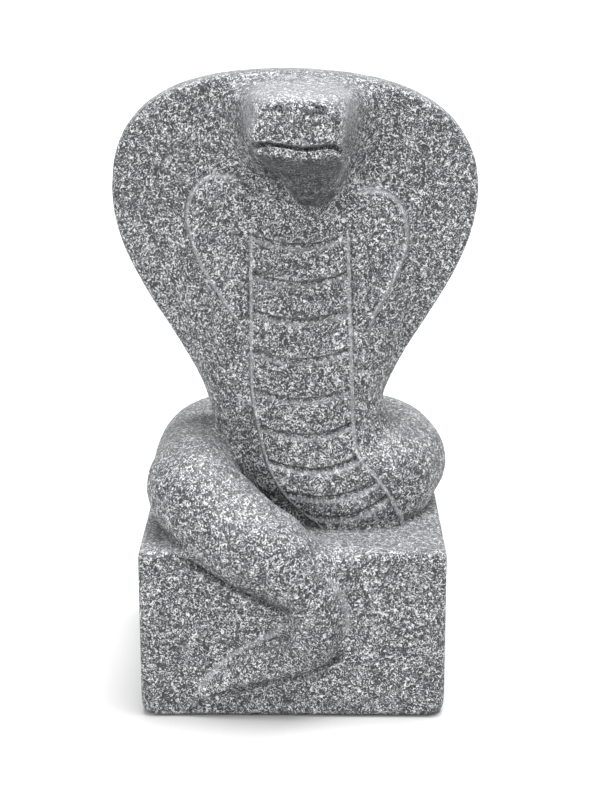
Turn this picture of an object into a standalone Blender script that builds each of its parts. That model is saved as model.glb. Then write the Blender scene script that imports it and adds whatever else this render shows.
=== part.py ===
"""A granite cobra carved in one with its square block.

The snake rears from a coil on top of the block, with its hood spread and its head
forward. The coil's outer end hangs over the block's front, turns and runs out as the tail.
Metres, +Z up, the snake faces -Y, and the origin is the centre of the block's underside.
"""

import math

import bmesh
import bpy
import numpy as np
from mathutils import Vector

# Block
PLINTH_WIDTH = 0.190
PLINTH_DEPTH = 0.190
PLINTH_HEIGHT = 0.110
PLINTH_ROUNDING = 0.004

# Snake: its own height, from the block's top to the top of the hood, and its stout parts
SNAKE_HEIGHT = 0.283
BODY_WIDTH = 0.060
COIL_SQUARENESS = 3.4
NECK_WIDTH = 0.113
NECK_DEPTH = 0.074
HOOD_WIDTH = 0.2290
HOOD_THICKNESS = 0.030
HOOD_ROUNDING = 0.0035
HEAD_WIDTH = 0.084
HEAD_DEPTH = 0.070
SNOUT_WIDTH = 0.051
SNOUT_REACH = 0.090

# Carving on the front
BELLY_WIDTH = 0.063
BELLY_RISE = 0.0025
LOBE_RISE = 0.0040
LOBE_SPREAD = 0.138
LEFT_LOBE = 0.034
RIGHT_LOBE = 0.028
FIRST_SCUTE = 0.632
SCUTE_PITCH = 0.0242
SCUTE_SAG = 0.0078
GROOVE_WIDTH = 0.0056
GROOVE_DEPTH = 0.0022
COLLAR = 0.712
COLLAR_SAG = 0.0110
MOUTH_WIDTH = 0.050
MOUTH_GAP = 0.0030
MOUTH_CUT = 0.012
MOUTH_SAG = 0.0025
NOSTRIL_WIDTH = 0.010
NOSTRIL_SPACING = 0.0236

# Fineness of the solid
GRAIN = 0.0018
SOFTENING_STEPS = 18
SNAKE_TRIANGLES = 8600

# The snake stands a little to the right of the block's middle
SNAKE_AXIS = 0.0010
COIL_AXIS = 0.0038
HEAD_AXIS = 0.0040
HOOD_CREST = -0.0060
BELLY_AXIS = 0.0060
JAW_LEAN = 0.0140

SIDE = Vector((1, 0, 0))
BACK = Vector((0, 1, 0))
UP = Vector((0, 0, 1))

STONE_COLOUR = (0.27, 0.275, 0.28, 1.0)
STONE_ROUGHNESS = 0.75


def clear_scene():
    for thing in list(bpy.data.objects):
        bpy.data.objects.remove(thing, do_unlink=True)


def new_collection(name):
    group = bpy.data.collections.new(name)
    bpy.context.scene.collection.children.link(group)
    return group


def up(share):
    """Height of a place on the snake, given as a share of its own height."""
    return PLINTH_HEIGHT + share * SNAKE_HEIGHT


def share_of(height):
    return (height - PLINTH_HEIGHT) / SNAKE_HEIGHT


def new_object(name, mesh, group):
    thing = bpy.data.objects.new(name, mesh)
    group.objects.link(thing)
    return thing


def mesh_object(name, shape, group):
    """An object from a bmesh, with its faces turned outwards."""
    bmesh.ops.recalc_face_normals(shape, faces=shape.faces)
    mesh = bpy.data.meshes.new(name)
    shape.to_mesh(mesh)
    shape.free()
    return new_object(name, mesh, group)


def evaluated_mesh(thing):
    """The mesh of an object with its modifiers or its curve worked out, welded and in its place."""
    bpy.context.view_layer.update()
    settled = thing.evaluated_get(bpy.context.evaluated_depsgraph_get())
    mesh = bpy.data.meshes.new_from_object(settled)
    mesh.transform(thing.matrix_world)
    shape = bmesh.new()
    shape.from_mesh(mesh)
    bmesh.ops.remove_doubles(shape, verts=shape.verts, dist=0.00001)
    shape.to_mesh(mesh)
    shape.free()
    return mesh


def as_solid(thing, group):
    """Replaces a curve or a modified object by a plain closed mesh."""
    solid = new_object(thing.name + "_solid", evaluated_mesh(thing), group)
    bpy.data.objects.remove(thing, do_unlink=True)
    return solid


def squared_circle(angle, squareness):
    """A place on an oval of half width and half depth 1: squareness 2 is round, more is boxier."""
    across, along = math.cos(angle), math.sin(angle)
    return (
        math.copysign(abs(across) ** (2 / squareness), across),
        math.copysign(abs(along) ** (2 / squareness), along),
    )


def ring(widest, half_width, near, far, squareness, rise, count=48):
    """Points round an oval section that reaches near below its widest line and far above it."""
    points = []
    for i in range(count):
        across, along = squared_circle(2 * math.pi * i / count, squareness)
        height = along * (far if along > 0 else near)
        points.append(widest + SIDE * across * half_width + rise * height)
    return points


def loft(name, rings, group):
    """A closed skin over a row of sections that differ in size and shape."""
    shape = bmesh.new()
    rows = [[shape.verts.new(point) for point in points] for points in rings]
    for lower, upper in zip(rows, rows[1:]):
        for i, vert in enumerate(lower):
            j = (i + 1) % len(lower)
            shape.faces.new((vert, lower[j], upper[j], upper[i]))
    shape.faces.new(rows[0])
    shape.faces.new(rows[-1])
    return mesh_object(name, shape, group)


def add_spline(name, points, widths, group):
    """A curve object through the points, smooth at each; widths scale its round section."""
    curve = bpy.data.curves.new(name, "CURVE")
    curve.dimensions = "3D"
    curve.resolution_u = 10
    spline = curve.splines.new("BEZIER")
    spline.bezier_points.add(len(points) - 1)
    spline.radius_interpolation = "CARDINAL"
    for knot, point, width in zip(spline.bezier_points, points, widths):
        knot.co = point
        knot.radius = width
        knot.handle_left_type = knot.handle_right_type = "AUTO"
    return new_object(name, curve, group)


def make_plinth(group):
    shape = bmesh.new()
    bmesh.ops.create_cube(shape, size=1.0)
    bmesh.ops.scale(shape, verts=shape.verts, vec=(PLINTH_WIDTH, PLINTH_DEPTH, PLINTH_HEIGHT))
    bmesh.ops.translate(shape, verts=shape.verts, vec=(0, 0, PLINTH_HEIGHT / 2))
    plinth = mesh_object("plinth", shape, group)
    edges = plinth.modifiers.new("Rounded edges", "BEVEL")
    edges.width = PLINTH_ROUNDING
    edges.segments = 3
    return plinth


def make_hood(group):
    """The spread hood: a flat plate with a rounded rim, standing on the neck."""
    half = HOOD_WIDTH / 2
    waist = NECK_WIDTH / 2
    top, widest, neck, foot = up(1.0), up(0.740), up(0.275), up(0.16)
    span = top - neck
    # knot, handle towards the knot before it, handle towards the knot after it
    right = [
        ((HOOD_CREST, top), (-0.36 * HOOD_WIDTH, 0), (0.36 * HOOD_WIDTH, 0)),
        ((half, widest), (0, 0.225 * span), (0, -0.25 * span)),
        ((waist, neck), (0.064 * HOOD_WIDTH, 0.21 * span), (-0.02 * HOOD_WIDTH, -0.10 * span)),
        ((0.8 * waist, foot), (0.01 * HOOD_WIDTH, 0.05 * span), (-0.03 * HOOD_WIDTH, 0)),
    ]
    left = []
    for place, before, after in reversed(right[1:]):
        left.append(tuple((-across, height) for across, height in (place, after, before)))
    outline = bpy.data.curves.new("hood", "CURVE")
    outline.dimensions = "2D"
    outline.fill_mode = "BOTH"
    outline.resolution_u = 16
    outline.extrude = HOOD_THICKNESS / 2 - HOOD_ROUNDING
    outline.bevel_depth = HOOD_ROUNDING
    outline.bevel_resolution = 3
    outline.offset = -HOOD_ROUNDING
    spline = outline.splines.new("BEZIER")
    spline.use_cyclic_u = True
    spline.bezier_points.add(len(right + left) - 1)
    for knot, (place, before, after) in zip(spline.bezier_points, right + left):
        knot.handle_left_type = knot.handle_right_type = "FREE"
        knot.co = (*place, 0)
        knot.handle_left = (place[0] + before[0], place[1] + before[1], 0)
        knot.handle_right = (place[0] + after[0], place[1] + after[1], 0)
    hood = new_object("hood", outline, group)
    hood.location = (SNAKE_AXIS, 0, 0)
    hood.rotation_euler = (math.pi / 2, 0, 0)
    return as_solid(hood, group)


def level_rings(sections):
    """Level sections: height, left and right edge, front and back, squareness."""
    rings = []
    for height, left, right, front, back, squareness in sections:
        centre = Vector(((left + right) / 2, (front + back) / 2, height))
        half_depth = (back - front) / 2
        rings.append(ring(centre, (right - left) / 2, half_depth, half_depth, squareness, BACK))
    return rings


def make_trunk(group):
    """The neck, and the swell of the body that runs up the hood to the throat."""
    deep = NECK_DEPTH / 2
    waist = NECK_WIDTH / 2
    hood = HOOD_WIDTH / 2
    reach = PLINTH_WIDTH / 2
    bed = PLINTH_DEPTH / 2
    sections = [
        (up(-0.015), -0.04 * reach, 0.84 * reach, -0.48 * bed, 0.44 * bed, 2.2),
        (up(0.020), -0.16 * reach, 0.94 * reach, -0.55 * bed, 0.44 * bed, 2.2),
        (up(0.050), -0.25 * reach, 0.95 * reach, -0.57 * bed, 0.44 * bed, 2.2),
        (up(0.085), -0.46 * reach, 0.91 * reach, -0.57 * bed, 0.43 * bed, 2.2),
        (up(0.125), -0.52 * reach, 0.89 * reach, -0.55 * bed, 0.40 * bed, 2.2),
        (up(0.165), -0.54 * reach, 0.80 * reach, -0.52 * bed, 0.36 * bed, 2.2),
        (up(0.210), -0.90 * waist, 1.10 * waist, -1.29 * deep, 0.82 * deep, 2.2),
        (up(0.275), -0.98 * waist, 1.01 * waist, -1.25 * deep, 0.73 * deep, 2.1),
        (up(0.380), -0.58 * hood, 0.58 * hood, -1.21 * deep, 0.67 * deep, 1.85),
        (up(0.480), -0.67 * hood, 0.67 * hood, -1.16 * deep, 0.63 * deep, 1.60),
        (up(0.580), -0.73 * hood, 0.75 * hood, -1.08 * deep, 0.58 * deep, 1.42),
        (up(0.670), -0.73 * hood, 0.79 * hood, -0.98 * deep, 0.54 * deep, 1.34),
        (up(0.730), -0.68 * hood, 0.74 * hood, -0.85 * deep, 0.50 * deep, 1.40),
        (up(0.765), -0.57 * hood, 0.63 * hood, -0.66 * deep, 0.44 * deep, 1.60),
        (up(0.790), -0.37 * hood, 0.43 * hood, -0.40 * deep, 0.34 * deep, 2.0),
    ]
    return loft("trunk", level_rings(sections), group)


def make_bed(group):
    """Uncut stone inside the coil, between the neck's foot and the coil's left limb."""
    reach = PLINTH_WIDTH / 2
    bed = PLINTH_DEPTH / 2
    sections = [
        (up(-0.015), -0.60 * reach, 0.66 * reach, -0.46 * bed, 0.64 * bed, 3.0),
        (up(0.050), -0.58 * reach, 0.64 * reach, -0.46 * bed, 0.60 * bed, 3.0),
        (up(0.145), -0.55 * reach, 0.30 * reach, -0.36 * bed, 0.50 * bed, 3.0),
    ]
    return loft("bed", level_rings(sections), group)


def make_skull(group):
    """The upper head: softly flat on top, keeled below, narrowing from the hood to a blunt snout."""
    root, snout = HEAD_WIDTH / 2, SNOUT_WIDTH / 2
    # reach forward, half width, drops of the top, the widest line and the keel, squareness
    sections = [
        (-0.10, 1.34 * root, 0.00, 0.30, 1.10, 2.3),
        (0.17, 1.22 * root, 0.00, 0.30, 1.06, 2.3),
        (0.22, 1.08 * root, 0.005, 0.30, 1.01, 2.3),
        (0.30, 0.96 * root, 0.01, 0.29, 0.93, 2.3),
        (0.42, 0.86 * root, 0.02, 0.27, 0.80, 2.4),
        (0.62, 0.75 * root, 0.035, 0.24, 0.64, 2.8),
        (0.80, 1.13 * snout, 0.05, 0.23, 0.57, 3.4),
        (0.93, 1.06 * snout, 0.065, 0.25, 0.56, 4.0),
        (1.00, 0.88 * snout, 0.11, 0.27, 0.53, 4.0),
    ]
    return loft("skull", head_rings(sections, 0.0), group)


def make_jaw(group):
    """The lower jaw: narrower, scooped back from the lip to the throat."""
    snout = SNOUT_WIDTH / 2
    sections = [
        (-0.10, 1.00 * snout, 0.45, 0.70, 1.24, 2.0),
        (0.25, 0.84 * snout, 0.45, 0.70, 1.20, 2.0),
        (0.38, 0.78 * snout, 0.45, 0.70, 1.12, 2.0),
        (0.52, 0.79 * snout, 0.45, 0.68, 1.02, 2.0),
        (0.68, 0.87 * snout, 0.45, 0.66, 0.89, 2.1),
        (0.82, 0.97 * snout, 0.45, 0.60, 0.76, 2.3),
        (0.92, 0.98 * snout, 0.45, 0.54, 0.66, 2.6),
        (0.98, 0.86 * snout, 0.46, 0.52, 0.59, 3.0),
    ]
    return loft("jaw", head_rings(sections, JAW_LEAN), group)


def head_rings(sections, lean):
    """Upright sections across the head; drops are shares of its depth below the hood's top."""
    rings = []
    for reach, half, high, widest, low, squareness in sections:
        across = HEAD_AXIS + lean * (1 - reach)
        middle = Vector((across, -reach * SNOUT_REACH, up(0.995) - widest * HEAD_DEPTH))
        below, above = (low - widest) * HEAD_DEPTH, (widest - high) * HEAD_DEPTH
        rings.append(ring(middle, half, below, above, squareness, UP))
    return rings


def body_path():
    """Middle line of the coil, the length over the front and the tail, with its radius."""
    r = BODY_WIDTH / 2
    bed = PLINTH_HEIGHT + 0.93 * r
    out_x = PLINTH_WIDTH / 2 - r
    out_y = PLINTH_DEPTH / 2 - r
    front = -PLINTH_DEPTH / 2
    path = [
        (Vector((0.50 * out_x, -0.30 * out_y, bed)), 0.9 * r),
        (Vector((0.84 * out_x, -0.32 * out_y, bed)), r),
    ]
    for degrees in range(0, 181, 15):
        across, along = squared_circle(math.radians(degrees), COIL_SQUARENESS)
        path.append((Vector((COIL_AXIS + out_x * across, out_y * along, bed)), r))
    path += [
        (Vector((COIL_AXIS - 1.00 * out_x, -0.45 * out_y, bed + 0.02 * r)), r),
        (Vector((-0.93 * out_x, -0.92 * out_y, bed - 0.06 * r)), r),
        (Vector((-0.72 * out_x, -1.10 * out_y, bed - 0.42 * r)), r),
    ]
    # places on the block's front: across and up as shares of the block's half width and height,
    # then the girth and how far it stands out as shares of the coil's radius
    face = [
        (-0.300, 1.025, 0.98, 0.62),
        (-0.140, 0.955, 0.93, 0.67),
        (-0.005, 0.870, 0.84, 0.67),
        (0.120, 0.745, 0.69, 0.57),
        (0.152, 0.590, 0.62, 0.49),
        (0.130, 0.460, 0.58, 0.45),
        (0.045, 0.395, 0.54, 0.43),
        (-0.070, 0.360, 0.49, 0.39),
        (-0.270, 0.292, 0.38, 0.32),
        (-0.450, 0.212, 0.28, 0.23),
        (-0.590, 0.140, 0.18, 0.14),
        (-0.675, 0.088, 0.07, 0.06),
    ]
    for across, height, girth, proud in face:
        depth = front + (girth - proud) * r
        path.append((Vector((across * PLINTH_WIDTH / 2, depth, height * PLINTH_HEIGHT)), girth * r))
    return path


def make_body(group):
    path = body_path()
    tube = add_spline("body", [place for place, _ in path], [radius for _, radius in path], group)
    tube.data.bevel_depth = 1.0
    tube.data.bevel_resolution = 6
    tube.data.use_fill_caps = True
    return as_solid(tube, group)


def fuse(name, pieces, group):
    """One skin over all the pieces, with the stone's soft hollows where they meet."""
    joined = bmesh.new()
    for piece in pieces:
        joined.from_mesh(piece.data)
        bpy.data.objects.remove(piece, do_unlink=True)
    rough = mesh_object(name, joined, group)
    skin = rough.modifiers.new("One skin", "REMESH")
    skin.mode = "VOXEL"
    skin.voxel_size = GRAIN
    soft = rough.modifiers.new("Soft hollows", "SMOOTH")
    soft.factor = 0.5
    soft.iterations = SOFTENING_STEPS
    return as_solid(rough, group)


def step(low, high, value):
    """0 below low, 1 above high and an even rise between."""
    t = np.clip((value - low) / (high - low), 0.0, 1.0)
    return t * t * (3 - 2 * t)


def belly_line():
    """The belly's middle line and half widths: straight down the neck, then off to the right."""
    r = BODY_WIDTH / 2
    half = BELLY_WIDTH / 2
    knots = np.array([
        (BELLY_AXIS - 0.001, up(0.76), 1.00 * half),
        (BELLY_AXIS, up(0.45), 0.97 * half),
        (BELLY_AXIS, up(0.28), 0.89 * half),
        (BELLY_AXIS + 0.02 * r, up(0.21), 0.87 * half),
        (BELLY_AXIS + 0.12 * r, up(0.14), 0.89 * half),
        (BELLY_AXIS + 0.38 * r, up(0.08), 0.92 * half),
        (BELLY_AXIS + 0.64 * r, up(0.035), 0.93 * half),
        (BELLY_AXIS + 0.86 * r, up(0.0), 0.93 * half),
    ])
    steps = np.arange(len(knots))
    fine = np.linspace(0, len(knots) - 1, 20 * len(knots))
    return np.column_stack([np.interp(fine, steps, knots[:, i]) for i in range(3)])


def belly_places(points):
    """How far down the belly's middle line each point lies, how far aside, and the half width there."""
    line = belly_line()
    place, half = line[:, :2], line[:, 2]
    for _ in range(30):
        place[1:-1] = (place[:-2] + 2 * place[1:-1] + place[2:]) / 4
    heading = np.gradient(place, axis=0)
    heading /= np.hypot(heading[:, 0], heading[:, 1])[:, None]
    travelled = np.concatenate([[0.0], np.cumsum(np.hypot(*np.diff(place, axis=0).T))])
    flat = points[:, [0, 2]]
    gaps = (flat[:, None, 0] - place[None, :, 0]) ** 2 + (flat[:, None, 1] - place[None, :, 1]) ** 2
    near = gaps.argmin(axis=1)
    offset = flat - place[near]
    along = travelled[near] + (offset * heading[near]).sum(axis=1)
    aside = offset[:, 0] * -heading[near, 1] + offset[:, 1] * heading[near, 0]
    return along, aside, half[near], travelled[-1]


def groove(distance):
    """Depth of a carved V at a distance from its middle, 1 at the bottom."""
    return np.clip(1 - np.abs(distance) / (GROOVE_WIDTH / 2), 0.0, 1.0)


def beyond_lobes(points):
    """Distance outside the raised body on the hood: tapered below, a round lobe each side on top."""
    aside = np.abs(points[:, 0] - HEAD_AXIS)
    share = share_of(points[:, 2])
    near, far = BELLY_WIDTH / 2, LOBE_SPREAD / 2
    shoulder = 0.665
    taper = aside - near - (far - near) * step(0.336, shoulder, share)
    half = 0.34 * far
    high = np.where(points[:, 0] > HEAD_AXIS, RIGHT_LOBE, LEFT_LOBE)
    out = (aside - (far - half)) / half
    rise = (share - shoulder) * SNAKE_HEIGHT / high
    crown = (np.hypot(out, rise) - 1) * half
    return np.where(share > shoulder, crown, taper)


def front_relief(points):
    """How far the carving stands out at each point: the belly, its cross grooves and the lobes."""
    along, aside, half, whole = belly_places(points)
    reach = np.abs(aside)
    above_collar = points[:, 2] - up(COLLAR) - COLLAR_SAG * (aside / half) ** 2
    below = 1 - step(-0.012, 0.004, above_collar)
    inside = 1 - step(half - 0.004, half, reach)
    panel = (1 - step(half - 0.0035, half + 0.0015, reach)) * below
    lift = BELLY_RISE * panel

    hooked = along + SCUTE_SAG * (reach / half) ** 2
    place, pitch = up(0.76) - up(FIRST_SCUTE), SCUTE_PITCH
    while place < whole:
        lift -= GROOVE_DEPTH * groove(hooked - place) * inside
        place += pitch

    beyond = beyond_lobes(points)
    low_end = step(0.36, 0.45, share_of(points[:, 2]))
    valley = step(half - 0.001, half + 0.010, reach)
    lift += LOBE_RISE * (1 - step(-0.004, 0.001, beyond)) * low_end * valley * (1 - panel)
    lift -= 0.5 * GROOVE_DEPTH * groove(beyond - 0.003) * low_end * valley
    return lift


def coil_gap(points):
    """Distance of each point outside the left part of the coil and the length over the front."""
    stretch = [knot for knot in body_path() if knot[0].x < 0.25 * PLINTH_WIDTH / 2]
    gap = np.full(len(points), 1.0)
    for (start, thick), (end, thin) in zip(stretch, stretch[1:]):
        for t in np.linspace(0, 1, 4, endpoint=False):
            middle = np.array(start.lerp(end, t))
            gap = np.minimum(gap, np.linalg.norm(points - middle, axis=1) - (thick + (thin - thick) * t))
    return gap


def carve(stone):
    """Cuts the relief into the front of the neck and hood, and leaves the head and the drape alone."""
    mesh = stone.data
    count = len(mesh.vertices)
    points = np.empty(count * 3, np.float32)
    normals = np.empty(count * 3, np.float32)
    mesh.vertices.foreach_get("co", points)
    mesh.vertex_normals.foreach_get("vector", normals)
    points = points.reshape(-1, 3)
    normals = normals.reshape(-1, 3)
    y, z = points[:, 1], points[:, 2]
    head = (z > up(0.73)) & (y < -NECK_DEPTH / 2 - 0.012)
    touched = np.flatnonzero((normals[:, 1] < -0.15) & (z > up(0.0)) & ~head)
    facing = step(0.15, 0.5, -normals[touched, 1])
    free = step(0.0010, 0.0040, coil_gap(points[touched]))
    points[touched, 1] -= front_relief(points[touched].astype(float)) * facing * free
    mesh.vertices.foreach_set("co", points.ravel())
    mesh.update()


def make_mouth_cutter(group):
    """A thin wedge that follows the snout's front: the mouth's slit, sagging at its ends."""
    half = MOUTH_WIDTH / 2
    lip = up(0.884)
    shape = bmesh.new()
    rows = []
    for i in range(13):
        across = -1 + 2 * i / 12
        x = HEAD_AXIS + across * half
        sag = -MOUTH_SAG * (1 - across**2) - MOUTH_SAG * max(0.0, across - 0.75) / 0.25
        gap = MOUTH_GAP / 2 * (1 - 0.6 * abs(across) ** 3)
        mouth_back = -SNOUT_REACH + MOUTH_CUT + 0.10 * MOUTH_WIDTH * across**2
        rows.append([
            shape.verts.new((x, -SNOUT_REACH - 0.02, lip + sag + gap)),
            shape.verts.new((x, mouth_back, lip + sag + 0.0004)),
            shape.verts.new((x, mouth_back, lip + sag - 0.0004)),
            shape.verts.new((x, -SNOUT_REACH - 0.02, lip + sag - gap)),
        ])
    for left, right in zip(rows, rows[1:]):
        for i in range(4):
            j = (i + 1) % 4
            shape.faces.new((left[i], left[j], right[j], right[i]))
    shape.faces.new(rows[0])
    shape.faces.new(rows[-1])
    return mesh_object("mouth", shape, group)


def make_nostril_cutter(name, side, group):
    shape = bmesh.new()
    bmesh.ops.create_uvsphere(shape, u_segments=12, v_segments=8, radius=0.62 * NOSTRIL_WIDTH)
    across = HEAD_AXIS + 0.0015 + side * NOSTRIL_SPACING / 2
    place = (across, -SNOUT_REACH - 0.38 * NOSTRIL_WIDTH, up(0.945))
    bmesh.ops.translate(shape, verts=shape.verts, vec=place)
    return mesh_object(name, shape, group)


def combine(stone, tool, operation):
    """A live Boolean whose tool stays in the file as a wire guide."""
    joint = stone.modifiers.new(tool.name, "BOOLEAN")
    joint.operation = operation
    joint.solver = "EXACT"
    joint.object = tool
    tool.hide_render = True
    tool.display_type = "WIRE"


def stone_material():
    material = bpy.data.materials.new("Grey granite")
    material.use_nodes = True
    shader = material.node_tree.nodes["Principled BSDF"]
    shader.inputs["Base Color"].default_value = STONE_COLOUR
    shader.inputs["Roughness"].default_value = STONE_ROUGHNESS
    shader.inputs["Metallic"].default_value = 0.0
    material.diffuse_color = STONE_COLOUR
    return material


def make_idol():
    idol_parts = new_collection("Cobra idol")
    tools = new_collection("Cutters")
    makers = (make_hood, make_trunk, make_bed, make_skull, make_jaw, make_body)
    forms = [make(tools) for make in makers]
    snake = fuse("snake", forms, tools)
    carve(snake)
    idol = new_object("cobra_idol", snake.data, idol_parts)
    bpy.data.objects.remove(snake, do_unlink=True)
    lighter = idol.modifiers.new("Facets", "DECIMATE")
    lighter.ratio = min(1.0, SNAKE_TRIANGLES / (2 * len(idol.data.polygons)))
    combine(idol, make_plinth(tools), "UNION")
    combine(idol, make_mouth_cutter(tools), "DIFFERENCE")
    for name, side in (("left_nostril", -1), ("right_nostril", 1)):
        combine(idol, make_nostril_cutter(name, side, tools), "DIFFERENCE")
    idol.data.materials.clear()
    idol.data.materials.append(stone_material())
    return idol


clear_scene()
make_idol()
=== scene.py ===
"""A granite cobra carved in one with its square block, on a pale floor in soft studio light.

The snake rears from a coil on top of the block, with its hood spread and its head forward.
The coil's outer end hangs over the block's front, turns and runs out as the tail.
Metres, +Z up, the snake faces -Y, and the origin is the centre of the block's underside.
"""

import math

import bmesh
import bpy
import numpy as np
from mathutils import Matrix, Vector, kdtree, noise


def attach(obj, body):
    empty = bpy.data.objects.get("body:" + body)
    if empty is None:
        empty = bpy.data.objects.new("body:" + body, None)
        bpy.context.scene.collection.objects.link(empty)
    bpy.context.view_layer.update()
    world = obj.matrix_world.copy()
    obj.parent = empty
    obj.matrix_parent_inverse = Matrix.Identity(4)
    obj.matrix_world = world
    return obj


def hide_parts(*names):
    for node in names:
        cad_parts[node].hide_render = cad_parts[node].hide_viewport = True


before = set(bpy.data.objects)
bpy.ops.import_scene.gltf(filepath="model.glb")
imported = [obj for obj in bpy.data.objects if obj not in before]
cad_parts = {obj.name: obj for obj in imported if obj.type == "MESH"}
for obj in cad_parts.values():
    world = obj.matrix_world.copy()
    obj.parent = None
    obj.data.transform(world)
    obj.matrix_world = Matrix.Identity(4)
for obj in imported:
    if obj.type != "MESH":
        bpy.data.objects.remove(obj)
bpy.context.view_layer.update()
bpy.ops.object.select_all(action="DESELECT")

SIDE = Vector((1, 0, 0))
BACK = Vector((0, 1, 0))
UP = Vector((0, 0, 1))

# Block
BLOCK_WIDTH = 0.190
BLOCK_HEIGHT = 0.110
BLOCK_FRONT = -BLOCK_WIDTH / 2

# Snake
SNAKE_HEIGHT = 0.283
BODY_WIDTH = 0.060
COIL_SQUARENESS = 3.4
NECK_WIDTH = 0.113
NECK_DEPTH = 0.074
HOOD_WIDTH = 0.2290
HOOD_THICKNESS = 0.030
HOOD_ROUNDING = 0.0035
HEAD_WIDTH = 0.084
HEAD_DEPTH = 0.070
SNOUT_WIDTH = 0.051
SNOUT_REACH = 0.090
HOOD_AXIS = 0.0010
COIL_AXIS = 0.0038
HEAD_AXIS = 0.0040
HOOD_CREST = -0.0060
JAW_LEAN = 0.0140

# Stone left between the hanging length and the block's top edge: its middle and half sizes
SADDLE_PLACE = (0.024, -0.0805, 0.1005)
SADDLE_SIZE = (0.034, 0.0150, 0.0120)

# Where the stone is rubbed round: half sizes of the zones, and rounds of rubbing
SNOUT_ZONE = (0.038, 0.017, 0.016)
CORNER_ZONE = (0.010, 0.010, 0.014)
TOP_EDGE_ROUNDS = 110
SNOUT_ROUNDS = 60
FOOT_ROUNDS = 10
CORNER_ROUNDS = 40

# Carving on the front: how far it stands out or goes in, and how wide it is
BELLY_RISE = 0.0022
LOBE_RISE = 0.0040
RIM_RISE = 0.0009
RIM_WIDTH = 0.0042
GROOVE_DEPTH = 0.0024
GROOVE_ABOVE = 0.0014
GROOVE_BELOW = 0.0050
BAND_SWELL = 0.0006
BAND_MIDDLE = 0.004
BAND_WIDTH = 0.012
SCUTE_SAG = 0.0065
# Heights between which the lobes come in, and between which the belly panel ends
LOBE_FOOT = (0.222, 0.246)
PANEL_TOP = (0.288, 0.306)
# How far towards the front a place faces before it is carved, and the share of the snake's
# height and the reach before the neck where the head begins
FRONT_FACING = 0.15
THROAT = 0.73
HEAD_START = 0.012

# Lines of the carving, in millimetres: across from the block's middle, then height, and so on
MM_PER_METRE = 1000
CHEST_OUTLINE = (
    -24, 221, -30, 234, -37, 244, -44, 253, -50, 262, -56, 270, -61, 279, -64, 288, -67, 298, -68, 307,
    -66, 315, -62, 323, -56, 329, -46, 331, -36, 330, -24, 327, -14, 322, -2, 316, 9, 311, 20, 307,
    29, 311, 38, 320, 48, 323, 57, 321, 64, 317, 69, 310, 72, 301, 73, 290, 70, 279, 66, 269,
    60, 258, 54, 249, 50, 240, 46, 227,
)
BELLY_LEFT = (
    -27, 340, -27, 292, -27, 230, -27, 202, -25, 186, -22, 173, -20, 161, -17, 152, -13, 143, -8, 135,
    -1, 125, 11, 115, 24, 105,
)
BELLY_RIGHT = (
    34, 340, 35, 292, 37, 230, 38, 191, 39, 172, 41, 159, 45, 152, 50, 148, 55, 142, 60, 135,
    65, 126, 69, 117, 73, 105,
)
# Cross grooves: height at the belly's middle, and how much higher the right end is than the left
SCUTES = ((290, 0), (267, 0), (244, 0), (219, 0), (194, 0), (171, 1), (150, 3), (133, 9), (120, 15))
# Cuts under the hanging length and under the tail: depth in metres, then the line
FRONT_CUTS = (
    (0.0060, (-80, 112, -57, 99, -44, 92, -32, 85, -20, 79, -8, 73, 1, 66)),
    (0.0062, (36, 46, 28, 40, 20, 36, 11, 32.5, -1, 28.5, -17, 24.5, -33, 20.5, -48, 15.5, -62, 10)),
)
FRONT_CUT_WIDTH = 0.0058
# Edges of the hanging length that are painted pale: wear, and partly a painted highlight on their lit
# side
PALE_EDGES = (
    (-4, 66, -6, 61, -14, 56, -23, 51, -33, 46, -42, 39, -50, 31, -57, 22, -62, 14),
    (22, 96, 29, 86, 33, 76, 34, 64, 33, 54),
)
PALE_WIDTH = 0.0060

# The snake's face: LIP and NOSTRIL_HEIGHT are shares of the snake's own height
LIP = 0.884
MOUTH_CUT = 0.012
MOUTH_FALL = 0.0035
# Mouth, in millimetres: across from the head's middle, drop below the lip's height, gap
MOUTH = (
    (-27.5, 1.6, 5.4), (-22.0, 0.6, 4.4), (-17.4, 0.2, 3.2), (-12.8, 0.8, 3.0),
    (-8.0, 1.4, 3.2), (-1.2, 2.5, 4.0), (4.6, 3.1, 4.2), (10.5, 2.3, 3.8),
    (17.4, 1.4, 3.6), (21.0, 1.9, 4.6), (24.0, 4.4, 6.0), (27.5, 5.4, 6.4),
)
LIP_SWELL = 0.0032
LIP_HEIGHT = 0.0092
LIP_FLARE = 0.0034
JAW_CUT = 0.0034
# Depths between which the lips' swell, the jaw's cut and the flare die away towards the throat
LIP_FRONT = (-0.078, -0.058)
JAW_FRONT = (-0.060, -0.044)
FLARE_FRONT = (-0.072, -0.046)
NOSTRIL_HEIGHT = 0.941
NOSTRIL_WIDTH = 0.0096
NOSTRIL_SPACING = 0.0240
NOSTRIL_DEPTH = 0.0040

# Reach and height, in metres, over which how far a place stands out is judged, for pale worn edges with
# some painted highlight and for painted shade in grooves
PROUD_REACH = 0.0030
PROUD_HEIGHT = 0.0016
# Painted light on the head's top and sides, as a share of the pale layer's full strength
HEAD_PAINTED_LIGHT = 0.6

# Unevenness that hand dressing leaves: height in metres, and waves to the metre
DRESSING = ((0.00030, 45), (0.00012, 160))

# Fineness of the surface
RING_POINTS = 48
GRID = 0.0018
SOFTENING = 14
FINE_NEAR_LINES = (0.0045, 0.0030)
FINE_ON_FACE = (0.032, 0.018, 0.020)
TRIANGLES = 190000

# Grains of the stone to the metre, its shades from mica to feldspar, and the dark grey of the painted
# shade in its hollows and on its downward faces
GRIT_SCALE = 545.0
GRAIN_SCALE = 520.0
STROKE_SCALE = 345.0
STONE_SHADES = ((0.27, "2c2e30"), (0.40, "535557"), (0.485, "808385"), (0.635, "dadbdc"))
PAINTED_SHADE = "2b2e30"

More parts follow.
